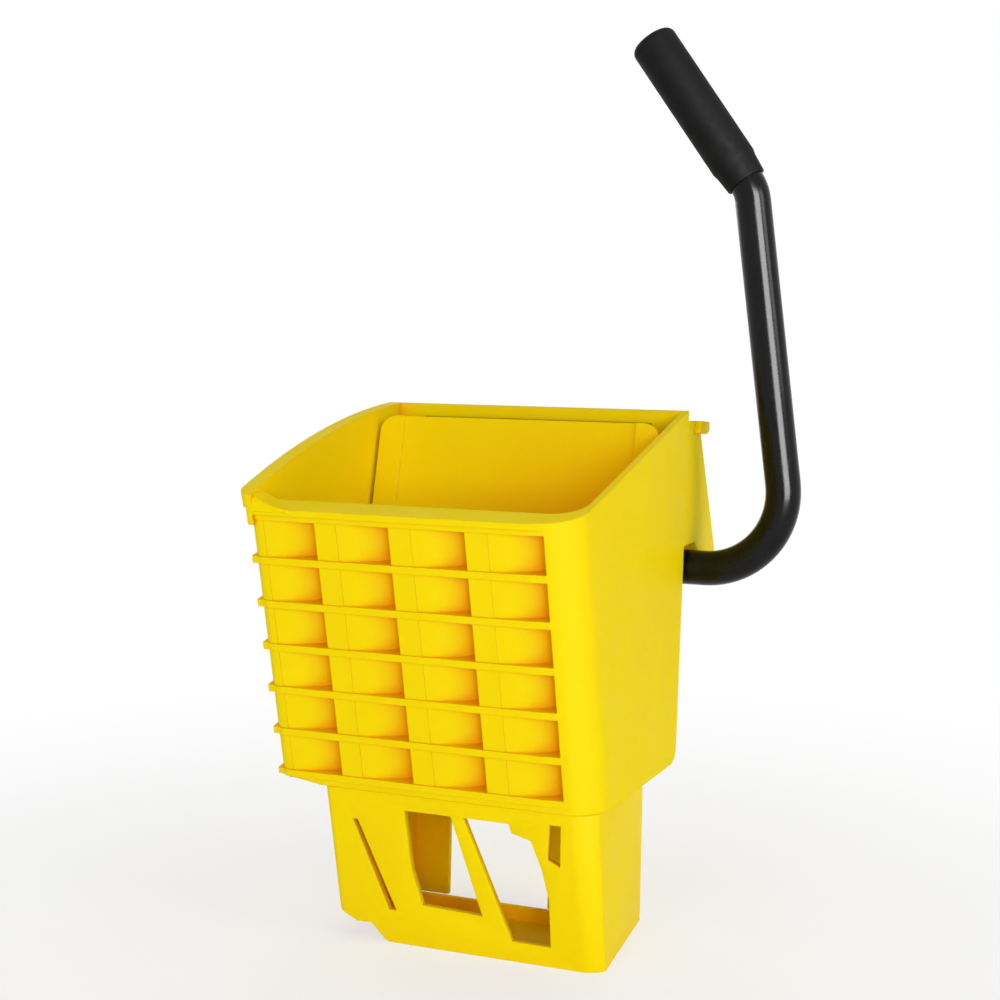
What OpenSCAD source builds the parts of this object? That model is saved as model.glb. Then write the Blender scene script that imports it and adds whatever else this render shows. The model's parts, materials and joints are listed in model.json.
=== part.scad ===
// Side press mop wringer: moulded basket on an open skirt, a press plate hinged low in the
// chamber, and a bent tube handle whose two cams push the plate forward.
// Millimetres, +Z up, origin under the press plate's hinge, level with the skirt's standing face,
// front towards -Y.

/* [Basket] */
// outer width of the basket
basket_w = 250; // [220:1:280]
// height of the front rim
front_rim_z = 330; // [310:1:350]
// height of the rear rim
rear_rim_z = 390; // [375:1:410]
// height of the basket's underside
basket_z = 121; // [110:1:130]
// front face at the rim, distance ahead of the origin
front_top_y = 143; // [130:1:155]
// front face at the underside, distance ahead of the origin
front_bot_y = 101; // [90:1:110]
// rear face at the rim, distance behind the origin
rear_top_y = 94; // [92:0.5:97]
// rear face at the underside, distance behind the origin
rear_bot_y = 70; // [66:1:74]
// thickness of the moulded walls
wall = 5; // [4:0.5:6]
// plan radius of the front corner on the handle side
corner_r = 28; // [18:1:34]
// plan radius of the other front corner
corner_l = 9; // [6:1:12]
// full depth of the ribbed front wall
front_t = 18; // [15:0.5:22]

/* [Front Lattice] */
// columns of pockets
lattice_cols = 4; // [3:1:5]
// rows of pockets
lattice_rows = 6; // [4:1:8]
// spacing of the columns
col_pitch = 57.7; // [50:0.1:60]
// width of one pocket
pocket_w = 41; // [30:1:44]
// depth of a pocket at its deep side
pocket_d = 14; // [8:0.5:15]
// thickness of the level ribs
rib_t = 5.5; // [4:0.5:8]
// how far the level ribs stand proud
rib_proud = 0.8; // [0.5:0.1:2]
// how far their ends stand out at the sharper corner
rib_end = 1.4; // [1.2:0.1:4]

/* [Skirt] */
// outer width of the skirt
skirt_w = 213; // [200:1:225]
// how far its handle side lies inside the basket's
skirt_in = 1.5; // [1:0.5:5]
// how far its handle side draws in towards the rear
skirt_toe = 18.5; // [10:0.5:24]
// depth of the skirt's standing face
skirt_foot = 120; // [110:1:128]
// front lean of the skirt, set back from top to bottom
skirt_lean = 24.5; // [15:0.5:30]

/* [Mechanism] */
// height of the press plate's hinge
hinge_z = 143; // [139:0.5:149]
// hinge pin diameter
hinge_d = 10; // [8:0.5:12]
// height of the handle shaft
shaft_z = 268; // [261:1:275]
// distance of the handle shaft behind the hinge
shaft_y = 101; // [98:0.5:104]
// lean of the press plate at rest
plate_lean = 15; // [13:0.5:16]
// swing of the press plate
plate_swing = 24; // [18:0.5:25]
// swing of the handle
handle_swing = 80; // [70:1:85]

/* [Handle] */
// outer diameter of the bent tube
tube_d = 26.9; // [24:0.1:30]
// wall of the tube
tube_wall = 2.6; // [2:0.1:3.5]
// where the lower bend starts, from the middle
bend_x = 137; // [134:1:150]
// centre line radius of the lower bend
bend_r = 61; // [50:1:75]
// turn of the lower bend
bend_a = 97.2; // [90:0.2:105]
// straight length of the lever
lever_len = 214; // [180:1:240]
// centre line radius of the upper bend
crook_r = 30; // [25:1:50]
// turn of the upper bend
crook_a = 28; // [15:0.2:40]
// grip diameter
grip_d = 35.5; // [32:0.5:40]
// grip length
grip_len = 133; // [100:1:150]

/* [Fits] */
// running clearance of a shaft in its bush, on the radius
run_gap = 0.06; // [0.03:0.01:0.1]
// clearance between parts that only lie side by side
side_gap = 0.5; // [0.3:0.1:1]
// clearance of a cam over its pad
cam_gap = 0.35; // [0.3:0.05:0.6]

/* [Hidden] */
yellow = "#f0cf12";
black = "#17181a";
steel = "#a9adb2";
nylon = "#e9e6dc";
rubber = "#222222";
half_w = basket_w/2;
in_w = half_w - wall;
front_lean = atan((front_top_y - front_bot_y)/(front_rim_z - basket_z));
rear_lean = atan((rear_top_y - rear_bot_y)/(rear_rim_z - basket_z));
floor_t = 4;
floor_z = basket_z + floor_t;
grate_t = 4;
rim_h = 5;
rim_lip = 2;
// how much higher the left rim starts at the front
rim_rise = 11;
// how far the left rim stands out
left_lip = 7;
rim_bulge = 9.5;
lattice_z0 = 5;
lattice_len = (front_rim_z - basket_z)/cos(front_lean) - 14;
row_pitch = lattice_len/lattice_rows;
band_h = 10;
win_half = half_w - 28;
win_z0 = shaft_z - 29;
strip_z1 = rear_rim_z - band_h;
skirt_h = basket_z;
skirt_t = 5;
skirt_set = 1;
skirt_r = 20;
skirt_x1 = half_w - skirt_in;
skirt_x0 = skirt_x1 - skirt_w;
skirt_top_y0 = -front_bot_y + skirt_set;
skirt_y0 = skirt_top_y0 + skirt_lean;
skirt_y1 = skirt_y0 + skirt_foot;
skirt_top_y1 = skirt_y1 + 7.5;
flange_t = 6;
flange_w = 24;
tie_h = 13.5;
shelf_t = 3;
drain_x0 = skirt_x0 + flange_w + 4;
drain_x1 = skirt_x1 - skirt_toe - flange_w - 4;
drain_y1 = skirt_top_y1 - flange_w - 4;
slot_pitch = 13;

plate_half = in_w - 3;
plate_face = 12.7;
plate_skin = 5;
plate_back = 4.3;
plate_low = 8;
plate_len = 245;
pad_off = 30;
pad_t = 3;
pad_lo = 142;
pad_hi = 226;
cam_x = half_w - 55;
cam_t = 16;
pad_w = cam_t + 4;
lug_x0 = in_w - 22;
lug_x1 = in_w - 9;
lug_r = 10;
bush_w = 3;
bush_flange = 1.5;
boss_r = 7.2;
boss_x = lug_x1 + bush_flange + 1;
pin_r = hinge_d/2;
pin_end = in_w + wall - 3;
pin_head = 7.2;
pin_head_t = 4;

tube_r = tube_d/2;
// a bend is this much slimmer than the straight ends that lap over it
weld_step = 0.03;
weld_lap = 0.3;
shaft_x0 = -(half_w - 12);
hub_r = 24;
hub_x0 = cam_x - 24;
hub_x1 = cam_x + cam_t/2;
bolt_x = cam_x - cam_t/2 - 8;
bolt_d = 8;
collar_x0 = hub_x1 + side_gap;
collar_w = 8;
collar_r = 21;
bush_x0 = collar_x0 + collar_w + side_gap;
block_x0 = bush_x0 + 2.5;
block_x1 = block_x0 + 18;
bush_r = tube_r + run_gap + 3.2;
block_r = bush_r + 5;
block_lo = shaft_z - 67;
block_hi = shaft_z + 23;

hood_t = 4;
hood_lo = shaft_z - 11;
hood_top = strip_z1 + 1;
tail_y = shaft_y + 63;
tail_z = shaft_z + 6;
brow_y = shaft_y + 21;
brow_z = hood_top - 5;

rib_out = 2.6;
hood_rib_pitch = 0.225*basket_w;
rear_rib_x = 0.27*basket_w;
rear_rib_z0 = basket_z + 4;
rear_rib_z1 = block_lo - 13;

spring_x = 34;
spring_t = 60;
spring_wire = 1.8;
spring_r = 7;
spring_turns = 11;
stud_r = (spring_r - spring_wire/2)*cos(22.5) - 0.4;
stud_len = 9;

// swing ratio and the distance from the shaft to the pad plane at plate turn f
ratio = plate_swing/handle_swing;
dz = shaft_z - hinge_z;
function lean(f) = plate_lean - f;
function reach(f) = shaft_y*cos(lean(f)) - dz*sin(lean(f)) - pad_off;
function reach_d(f) = shaft_y*sin(lean(f)) + dz*cos(lean(f));
// cam profile at handle turn a, as a support curve drawn about the shaft at rest
function cam_psi(a) = 180 - plate_lean - (1 - ratio)*a;
function cam_pt(a) = let(p = reach(ratio*a) - cam_gap, q = -reach_d(ratio*a)*ratio/(1 - ratio),
    s = cam_psi(a)) [p*cos(s) - q*sin(s), p*sin(s) + q*cos(s)];
function arc(cy, cz, r, a0, a1, n) = [for (i = [0:n]) let(a = a0 + (a1 - a0)*i/n) [cy + r*cos(a), cz + r*sin(a)]];
function rear_y(z) = rear_bot_y + (z - basket_z)*(rear_top_y - rear_bot_y)/(rear_rim_z - basket_z);
function front_y(z) = -front_bot_y - (z - basket_z)*(front_top_y - front_bot_y)/(front_rim_z - basket_z);
function left_rim_t(y) = (y + front_top_y)/(rear_top_y + front_top_y);
function left_rim_z(y) = let(t = left_rim_t(y)) front_rim_z + rim_rise + t*(rear_rim_z - front_rim_z - rim_rise)
    + 4*rim_bulge*t*(1 - t);
function skirt_side(y) = skirt_x1 - skirt_toe*(y - skirt_top_y0)/(skirt_top_y1 - skirt_top_y0);
function skirt_rear(z) = skirt_y1 + z*(skirt_top_y1 - skirt_y1)/skirt_h;
function rim_z(y) = front_rim_z + (y + front_top_y)*(rear_rim_z - front_rim_z)/(rear_top_y + front_top_y);

// draws a Y-Z outline as a bar from x0 to x1
module along_x(x0, x1) {
    translate([x0, 0, 0])
        rotate([90, 0, 90])
            linear_extrude(x1 - x0)
                children();
}

// the frame of the leaning front face: X across, Y into the wall, Z up the face
module front_frame() {
    translate([0, -front_bot_y, basket_z])
        rotate([front_lean, 0, 0])
            children();
}

// the frame of the leaning rear wall: X across, Y rearward, Z up the face
module rear_frame(z) {
    translate([0, rear_y(z), z])
        rotate([-rear_lean, 0, 0])
            children();
}

// the frame of the press plate at rest: X across, Y rearward from the hinge, Z up the plate
module plate_frame() {
    translate([0, 0, hinge_z])
        rotate([-plate_lean, 0, 0])
            children();
}

module both() {
    children();
    mirror([1, 0, 0])
        children();
}

// plan outline with round front corners of radius rl and rr, front edge at y0
module plan(half, y0, rl, rr) {
    translate([-half, y0 + rl])
        square([2*half - rr, 420]);
    translate([half - rr - 1, y0 + rr])
        square([rr + 1, 420 + rl - rr]);
    translate([-half + rl, y0])
        square([2*half - rl - rr, rr + 1]);
    translate([-half + rl, y0 + rl])
        circle(rl, $fn = 48);
    translate([half - rr, y0 + rr])
        circle(rr, $fn = 48);
}

module leaning_plan(half, y0, rl, rr) {
    front_frame()
        translate([0, 0, -150])
            linear_extrude(520)
                plan(half, y0, rl, rr);
}

// side outline of the basket, its rear lower corner rounded
module side_outline() {
    r = 14;
    e = rear_y(basket_z + r);
    polygon(concat([[-front_bot_y + 8*tan(front_lean), basket_z], [front_y(basket_z + 6), basket_z + 6]],
        [[front_y(rim_z(-front_top_y)) - 30, front_rim_z - 30*(rear_rim_z - front_rim_z)/(rear_top_y + front_top_y)]],
        [[rear_top_y, rear_rim_z]],
        [for (p = arc(e - r, basket_z + r, r, 0, -90, 8)) p]));
}

module inside_outline() {
    polygon([[-220, floor_z], [-220, 480], [rear_y(480) - wall, 480], [rear_y(floor_z) - wall, floor_z]]);
}

module rim_outline() {
    k = (rear_rim_z - front_rim_z)/(rear_top_y + front_top_y);
    polygon([[-front_top_y - 30, front_rim_z - 30*k], [rear_top_y, rear_rim_z],
        [rear_y(rear_rim_z - rim_h), rear_rim_z - rim_h], [-front_top_y - 30, front_rim_z - rim_h - 30*k]]);
}

// the top edge of the left wall, rising in a shallow arch from the front corner to the rear one
module left_rim_outline(deep) {
    y0 = -front_top_y - 30;
    y1 = rear_y(rear_rim_z - deep);
    n = 18;
    polygon(concat([for (i = [0:n]) let(y = y0 + (rear_top_y - y0)*i/n) [y, left_rim_z(y)]],
        [for (i = [n:-1:0]) let(y = y0 + (y1 - y0)*i/n) [y, left_rim_z(y0 + (rear_top_y - y0)*i/n) - deep]]));
}

// plan outline that stands proud by p at the front, by left at the left side, and dies away at the right corner
module proud_plan(p, left) {
    translate([-left/2, 0])
        plan(half_w + left/2 - 0.05, -p, corner_l + p, corner_r + 12);
}

// a pocket that deepens smoothly towards its right side
module pocket() {
    linear_extrude(row_pitch - rib_t)
        polygon(concat([[-pocket_w, -10], [0, -10]],
            [for (i = [8:-1:0]) [-pocket_w*(1 - i/8), 0.3 + (pocket_d - 0.3)*pow(i/8, 2)]]));
}

module basket() {
    color(yellow)
    difference() {
        union() {
            difference() {
                intersection() {
                    along_x(-half_w, half_w)
                        side_outline();
                    leaning_plan(half_w, 0, corner_l, corner_r);
                }
                // the pockets of the front wall
                front_frame()
                    for (c = [0:lattice_cols - 1])
                        for (r = [0:lattice_rows - 1])
                            translate([(c - (lattice_cols - 1)/2)*col_pitch + pocket_w/2 - 6, 0, lattice_z0 + r*row_pitch + rib_t])
                                pocket();
            }
            // the level ribs
            intersection() {
                front_frame()
                    for (r = [0:lattice_rows])
                        translate([0, 0, lattice_z0 + r*row_pitch])
                            linear_extrude(rib_t)
                                proud_plan(rib_proud, rib_proud);
                front_frame()
                    translate([-half_w - 9, -9, -5])
                        cube([basket_w + 18, 9 + corner_r - 3, 300]);
            }
            // their ends at the sharper corner
            front_frame()
                for (r = [0:lattice_rows - 1])
                    translate([-half_w - rib_end, 1, lattice_z0 + r*row_pitch])
                        cube([rib_end + 4, 14, rib_t]);
            // the lip round the rim
            intersection() {
                along_x(-half_w + corner_l/2, half_w)
                    rim_outline();
                front_frame()
                    translate([0, 0, -150])
                        linear_extrude(520)
                            proud_plan(rim_lip, left_lip);
            }
            // the front rim curves up to the left corner
            intersection() {
                translate([-half_w, 0, front_rim_z])
                    rotate([90, 0, 0])
                        linear_extrude(2*front_top_y)
                            polygon([[0, -rim_h], [0, rim_rise], [wall, rim_rise - 0.8], [10, rim_rise - 4], [16, rim_rise - 7],
                                [24, rim_rise - 9.4], [34, rim_rise - 11], [44, rim_rise - 12], [44, -rim_h]]);
                leaning_plan(half_w, 0, corner_l, corner_r);
                front_frame()
                    translate([-half_w - 9, -5, 0])
                        cube([basket_w, 5 + front_t, 400]);
            }
            // stiffening ribs low on the rear wall
            for (x = [-rear_rib_x, 0, rear_rib_x])
                along_x(x - 2, x + 2)
                    polygon([[rear_y(rear_rib_z0) - 1, rear_rib_z0], [rear_y(rear_rib_z0 + 3) + rib_out, rear_rib_z0 + 3],
                        [rear_y(rear_rib_z1 - 6) + rib_out, rear_rib_z1 - 6], [rear_y(rear_rib_z1) - 1, rear_rib_z1]]);
            // the left wall's top and its lip
            intersection() {
                union() {
                    along_x(-half_w, -in_w)
                        left_rim_outline(24);
                    along_x(-half_w - left_lip/2, -in_w)
                        left_rim_outline(2*rim_h + 1);
                    along_x(-half_w - left_lip, -in_w)
                        left_rim_outline(rim_h);
                }
                front_frame()
                    translate([0, 0, -150])
                        linear_extrude(520)
                            proud_plan(rim_lip, left_lip);
            }
        }
        // the lower edge of the front wall rises to the left corner
        front_frame()
            translate([0, 12, 0])
                rotate([90, 0, 0])
                    linear_extrude(30)
                        polygon([[-half_w - 9, -9], [-half_w - 9, 7], [-half_w, 6], [skirt_x0 - 3, 0], [skirt_x0 - 3, -9]]);
        // the chamber
        intersection() {
            along_x(-in_w, in_w)
                inside_outline();
            leaning_plan(in_w, front_t, corner_l, corner_r - wall);
        }
        // the drain under the grate
        translate([drain_x0, front_y(floor_z) + front_t + 14, basket_z - 1])
            cube([drain_x1 - drain_x0, drain_y1 - front_y(floor_z) - front_t - 14, floor_t + 2]);
        // the rear window that the cams work through
        along_x(-win_half, win_half)
            polygon([[rear_y(win_z0) - 12, win_z0], [rear_y(win_z0) + 12, win_z0],
                [rear_top_y + 12, strip_z1], [rear_top_y - 12, strip_z1]]);
        screw_holes();
    }
    // sockets for the hinge pins
    color(yellow)
    both()
        difference() {
            translate([boss_x, 0, hinge_z])
                rotate([0, 90, 0])
                    cylinder(h = in_w - boss_x + 1, r = boss_r, $fn = 40);
            pin_hole();
        }
}

// holes that the basket's fasteners pass through
module screw_holes() {
    pin_hole();
    mirror([1, 0, 0])
        pin_hole();
    hood_screw_places()
        cylinder(h = 40, d = 4.6, center = true, $fn = 24);
    block_bolt_places()
        cylinder(h = 40, d = 6.6, center = true, $fn = 24);
    skirt_screw_places()
        translate([0, 0, -15])
            cylinder(h = 15 + floor_t + 0.5, d = 5.6, $fn = 24);
    stud_places()
        cylinder(h = 30, d = 6.6, center = true, $fn = 24);
}

module pin_hole() {
    translate([boss_x - 5, 0, hinge_z])
        rotate([0, 90, 0])
            cylinder(h = pin_end + 0.4 - boss_x + 5, r = pin_r + 0.05, $fn = 40);
}

module drain_grate() {
    gx = in_w - 2;
    gy0 = front_y(floor_z) + front_t + 3;
    gy1 = rear_y(floor_z) - wall - 2;
    slots = floor((drain_x1 - drain_x0)/slot_pitch);
    slot_y0 = front_y(floor_z) + front_t + 17;
    slot_len = (drain_y1 - slot_y0 - 9)/2;
    color(yellow)
    difference() {
        intersection() {
            translate([-gx, gy0, floor_z])
                cube([2*gx, gy1 - gy0, grate_t]);
            leaning_plan(gx, front_t + 1, corner_l, corner_r - wall);
        }
        for (i = [0:slots - 1])
            for (j = [0, 1])
                translate([(drain_x0 + drain_x1)/2 + (i - (slots - 1)/2)*slot_pitch - 3.5, slot_y0 + j*(slot_len + 6),
                    floor_z - 1])
                    cube([7, slot_len, grate_t + 2]);
    }
}

// openings of the skirt's front, across from its handle side and up
module skirt_openings() {
    translate([skirt_x1, 0]) {
        polygon([[-148.5, 109], [-111.5, 109], [-93.5, 33], [-141.5, 34.5], [-147.5, 64]]);
        polygon([[-101.5, 109], [-66.5, 109], [-64.5, 102], [-50.5, 98], [-44, 78], [-40, 54], [-41.5, 16],
            [-71.5, 16]]);
        polygon([[-35, 112], [-26.5, 112], [-29.5, 80], [-38.5, 85]]);
    }
    translate([skirt_x0, 0])
        polygon([[21.5, 97.5], [25.5, 97.5], [49.5, 27], [43.5, 27]]);
}

// the skirt's block from z0 to z1, drawn in by t all round
module skirt_block(t, z0, z1) {
    a = atan(skirt_lean/skirt_h);
    intersection() {
        along_x(skirt_x0 - 5, skirt_x1 + 5)
            polygon([[-200, z0], [skirt_rear(z0) - t, z0], [skirt_rear(z1) - t, z1], [-200, z1]]);
        translate([(skirt_x0 + skirt_x1)/2, skirt_top_y0, skirt_h])
            rotate([a, 0, 0])
                translate([0, 0, -200])
                    linear_extrude(300)
                        plan(skirt_w/2 - t, t, 6 - t, skirt_r - t);
        translate([0, 0, z0 - 5])
            linear_extrude(z1 - z0 + 10)
                polygon([[skirt_x0 - 5, -200], [skirt_side(-200) - t, -200], [skirt_side(200) - t, 200], [skirt_x0 - 5, 200]]);
    }
}

module lower_skirt() {
    color(yellow)
    difference() {
        union() {
            difference() {
                skirt_block(0, 0, skirt_h);
                skirt_block(skirt_t, -1, skirt_h + 1);
            }
            // top flange round the drain
            difference() {
                skirt_block(1, skirt_h - flange_t, skirt_h);
                translate([skirt_x0 + flange_w, skirt_top_y0 + flange_w, skirt_h - 20])
                    cube([drain_x1 + 4 - skirt_x0 - flange_w, skirt_top_y1 - skirt_top_y0 - 2*flange_w, 40]);
            }
            // the tie across the standing face and the shelf ahead of it
            intersection() {
                skirt_block(1, 0, skirt_h);
                union() {
                    translate([skirt_x0, -skirt_t/2, 0])
                        cube([skirt_w, skirt_t, tie_h]);
                    translate([skirt_x0, skirt_y0, 0])
                        cube([skirt_w, -skirt_y0, shelf_t]);
                }
            }
        }
        // windows of the front and the rear
        translate([0, skirt_y0 + skirt_t + 8, 0])
            rotate([90, 0, 0])
                linear_extrude(80)
                    skirt_openings();
        translate([-55, skirt_y1 - 25, -1])
            cube([86, 60, 67]);
        // the raised front left corner
        translate([skirt_x0, skirt_y0 + 40, 0])
            rotate([90, 0, 0])
                linear_extrude(90)
                    polygon([[-3, -1], [-3, 23], [0, 22], [15, 13.5], [27, 14], [37, 2], [41, 0], [41, -1]]);
        skirt_screw_places()
            cylinder(h = 30, d = 5.6, center = true, $fn = 24);
    }
}

module skirt_screw_places() {
    for (y = [skirt_top_y0 + 14, skirt_top_y1 - 14])
        for (x = [skirt_x0 + 14, skirt_side(y) - 16])
            translate([x, y, basket_z])
                children();
}

module skirt_screws() {
    color(steel)
    skirt_screw_places() {
        translate([0, 0, -flange_t - 3])
            cylinder(h = flange_t + 3 + floor_t - 0.2, d = 5, $fn = 24);
        translate([0, 0, -flange_t - 3])
            cylinder(h = 3, d = 10, $fn = 32);
    }
}

// side outline of the hood's cheeks; the notch lets the tube through
module cheek_outline(notch) {
    g = 0.4;
    n0 = shaft_z + tube_r + 5;
    n1 = shaft_y + tube_r + 5;
    polygon(concat([[rear_y(hood_top) + g, hood_top], [rear_y(n0) + g, n0]],
        notch ? [[n1 - 8, n0], [n1, n0 - 8], [n1, hood_lo]] : [[rear_y(hood_lo) + g, hood_lo]],
        [[tail_y - 8, hood_lo], [tail_y, tail_z], [brow_y, brow_z], [brow_y - 9, hood_top]]));
}

module hood_skin() {
    d = hood_t;
    polygon([[rear_y(hood_top) + 0.4, hood_top], [brow_y - 9, hood_top], [brow_y, brow_z], [tail_y, tail_z],
        [tail_y - 8, hood_lo], [tail_y - 8 - d, hood_lo], [tail_y - d - 0.3, tail_z],
        [brow_y - d + 0.3, brow_z - 2], [brow_y - 11, hood_top - d], [rear_y(hood_top) + 0.4, hood_top - d]]);
}

// side outline of a stiffening rib down the hood's slope
module hood_rib_outline() {
    top = [brow_y, brow_z];
    slope = [tail_y, tail_z] - top;
    long = norm(slope);
    u = slope/long;
    n = [-u[1], u[0]];
    polygon([for (p = [[14, -1.5], [18, rib_out], [long - 12, rib_out], [long - 6, -1.5]]) top + p[0]*u + p[1]*n]);
}

module rear_hood() {
    color(yellow)
    difference() {
        union() {
            along_x(half_w - hood_t, half_w)
                cheek_outline(true);
            along_x(-half_w, -half_w + hood_t)
                cheek_outline(false);
            along_x(-half_w, half_w)
                hood_skin();
            for (k = [-1.5:1.5])
                along_x(k*hood_rib_pitch - 2, k*hood_rib_pitch + 2)
                    hood_rib_outline();
            // the lip along the top
            along_x(-half_w - 5, half_w + 5)
                polygon([[brow_y - 16, hood_top - 9], [brow_y - 9, hood_top], [brow_y + 9, hood_top - 2],
                    [brow_y + 9, hood_top - 9], [brow_y + 2, hood_top - 11]]);
            // flanges against the rear strips, with bosses for the screws
            both()
                rear_frame(block_hi + 4)
                    translate([win_half + 2, 0.4, 0])
                        cube([half_w - win_half - 4, 3, hood_top - block_hi - 8]);
            hood_screw_places()
                translate([0, 0, 0.4])
                    cylinder(h = 13, d = 11, $fn = 32);
        }
        // room for the cams' tips under the lip
        along_x(-win_half, win_half)
            polygon([[rear_y(hood_top) + 1, hood_top - hood_t], [brow_y - 11, hood_top - hood_t],
                [brow_y - hood_t + 0.3, brow_z - 2], [brow_y - 12, hood_top - 51],
                [rear_y(hood_top) + 1, hood_top - 51]]);
        hood_screw_places()
            cylinder(h = 11, d = 3.8, $fn = 24);
    }
}

// axes of the hood's screws, standing out of the rear strips
module hood_screw_places() {
    for (x = [-1, 1])
        for (k = [0.22, 0.78])
            rear_frame(block_hi + 4 + k*(hood_top - block_hi - 8))
                translate([x*(win_half + 11), 0, 0])
                    rotate([-90, 0, 0])
                        children();
}

module hood_screws() {
    color(steel)
    hood_screw_places() {
        translate([0, 0, -wall/cos(rear_lean) - 0.1])
            cylinder(h = 15, d = 3.4, $fn = 24);
        translate([0, 0, -wall/cos(rear_lean) - 3])
            cylinder(h = 3, d = 8, $fn = 32);
    }
}

module bearing_block() {
    color(black)
    difference() {
        union() {
            translate([0, shaft_y, shaft_z])
                rotate([0, 90, 0])
                    translate([0, 0, block_x0])
                        cylinder(h = block_x1 - block_x0, r = block_r, $fn = 64);
            along_x(block_x0, block_x1)
                polygon([[rear_y(block_lo), block_lo], [rear_y(block_hi), block_hi], [shaft_y, shaft_z + block_r],
                    [shaft_y, shaft_z - block_r], [rear_y(block_lo) + 11, block_lo + 32], [rear_y(block_lo) + 11, block_lo]]);
        }
        translate([block_x0 - 1, shaft_y, shaft_z])
            rotate([0, 90, 0])
                cylinder(h = 30, r = bush_r + 0.1, $fn = 64);
        // the foot stops at the rear wall
        along_x(block_x0 - 1, block_x1 + 1)
            polygon([[rear_y(150) + 0.1, 150], [rear_y(350) + 0.1, 350], [0, 350], [0, 150]]);
        block_bolt_places()
            cylinder(h = 60, d = 6.6, center = true, $fn = 24);
    }
}

module bearing_block_right() {
    bearing_block();
}

module bearing_block_left() {
    mirror([1, 0, 0])
        bearing_block();
}

module block_bolt_places() {
    for (x = [-1, 1])
        for (z = [block_lo + 8, block_lo + 24])
            rear_frame(z)
                translate([x*(block_x0 + block_x1)/2, 0, 0])
                    rotate([-90, 0, 0])
                        children();
}

module block_bolts() {
    color(steel)
    block_bolt_places() {
        translate([0, 0, -wall - 0.2])
            cylinder(h = 20, d = 6, $fn = 24);
        translate([0, 0, -wall - 4.1])
            cylinder(h = 4, d = 11, $fn = 32);
    }
}

module shaft_bush() {
    color(nylon)
    translate([bush_x0, shaft_y, shaft_z])
        rotate([0, 90, 0])
            difference() {
                union() {
                    cylinder(h = block_x1 - bush_x0 + 1, r = bush_r, $fn = 64);
                    cylinder(h = block_x0 - bush_x0, r = collar_r, $fn = 64);
                }
                translate([0, 0, -1])
                    cylinder(h = 40, r = tube_r + run_gap, $fn = 64);
            }
}

module shaft_bush_right() {
    shaft_bush();
}

module shaft_bush_left() {
    mirror([1, 0, 0])
        shaft_bush();
}

module hinge_pin() {
    color(steel)
    translate([0, 0, hinge_z])
        rotate([0, 90, 0]) {
            translate([0, 0, lug_x0 - 1])
                cylinder(h = pin_end - lug_x0 + 1, r = pin_r, $fn = 40);
            translate([0, 0, lug_x0 - 1 - pin_head_t])
                cylinder(h = pin_head_t, r = pin_head, $fn = 40);
        }
}

module hinge_pin_right() {
    hinge_pin();
}

module hinge_pin_left() {
    mirror([1, 0, 0])
        hinge_pin();
}

module hinge_bush() {
    color(nylon)
    translate([0, 0, hinge_z])
        rotate([0, 90, 0])
            difference() {
                union() {
                    translate([0, 0, lug_x0 - 0.5])
                        cylinder(h = lug_x1 - lug_x0 + 0.5, r = pin_r + run_gap + 2, $fn = 40);
                    translate([0, 0, lug_x1])
                        cylinder(h = bush_flange, r = boss_r, $fn = 40);
                }
                translate([0, 0, lug_x0 - 5])
                    cylinder(h = 40, r = pin_r + run_gap, $fn = 40);
            }
}

module hinge_bush_right() {
    hinge_bush();
}

module hinge_bush_left() {
    mirror([1, 0, 0])
        hinge_bush();
}

// flat outline of the plate, X across and up the plate
module plate_outline(half, lo, hi, r) {
    translate([-half, lo])
        square([2*half, hi - r - lo]);
    translate([-half + r, lo])
        square([2*half - 2*r, hi - lo]);
    for (s = [-1, 1])
        translate([s*(half - r), hi - r])
            circle(r, $fn = 40);
}

module up_plate(y0, y1) {
    translate([0, y1, 0])
        rotate([90, 0, 0])
            linear_extrude(y1 - y0)
                children();
}

module press_plate() {
    back = -plate_face + plate_skin;
    color(yellow)
    plate_frame()
        difference() {
            union() {
                difference() {
                    up_plate(-plate_face, plate_back)
                        plate_outline(plate_half, -plate_low, plate_len, 14);
                    // the cells between the back ribs
                    for (c = [0:3])
                        for (r = [0:2])
                            translate([-plate_half + wall + c*(2*plate_half - wall)/4, back, 17 + r*75])
                                cube([(2*plate_half - wall)/4 - wall, 40, 70]);
                    translate([-plate_half - 1, back, -20])
                        cube([2*plate_half + 2, 40, 32]);
                    // the dished face
                    up_plate(-plate_face - 1, -plate_face + 2)
                        plate_outline(plate_half - 20, 14, plate_len + 20, 10);
                }
                // hinge lugs
                both() {
                    translate([lug_x0, 0, 0])
                        rotate([0, 90, 0])
                            cylinder(h = lug_x1 - lug_x0, r = lug_r, $fn = 48);
                    translate([lug_x0, back - 1, -plate_low])
                        cube([lug_x1 - lug_x0, 1 - back, plate_low + 14]);
                    translate([lug_x0, back - 1, 0])
                        cube([lug_x1 - lug_x0, 5 - back, 17]);
                }
                // box brackets that carry the cam pads
                both()
                    difference() {
                        translate([cam_x - pad_w/2, back - 1, pad_lo - 4])
                            cube([pad_w, pad_off - pad_t - back + 1, pad_hi - pad_lo + 8]);
                        translate([cam_x - pad_w/2 - 1, back + 4, pad_lo + 4])
                            cube([pad_w + 2, pad_off - pad_t - back - 10, pad_hi - pad_lo - 8]);
                    }
                // seats of the spring studs
                stud_seats();
            }
            both()
                translate([0, 0, 0])
                    rotate([0, 90, 0])
                        cylinder(h = 200, r = pin_r + run_gap + 2.05, $fn = 40);
            rivet_places()
                cylinder(h = 9, d = 4.3, center = true, $fn = 24);
            both()
                translate([spring_x, plate_back + 1, spring_t])
                    rotate([-90 + plate_lean, 0, 0])
                        cylinder(h = 14, d = 6.6, center = true, $fn = 24);
        }
}

module stud_seats() {
    both()
        translate([spring_x - 9, -plate_face + plate_skin - 1, spring_t - 9])
            cube([18, plate_back + plate_face - plate_skin + 1, 18]);
}

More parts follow.
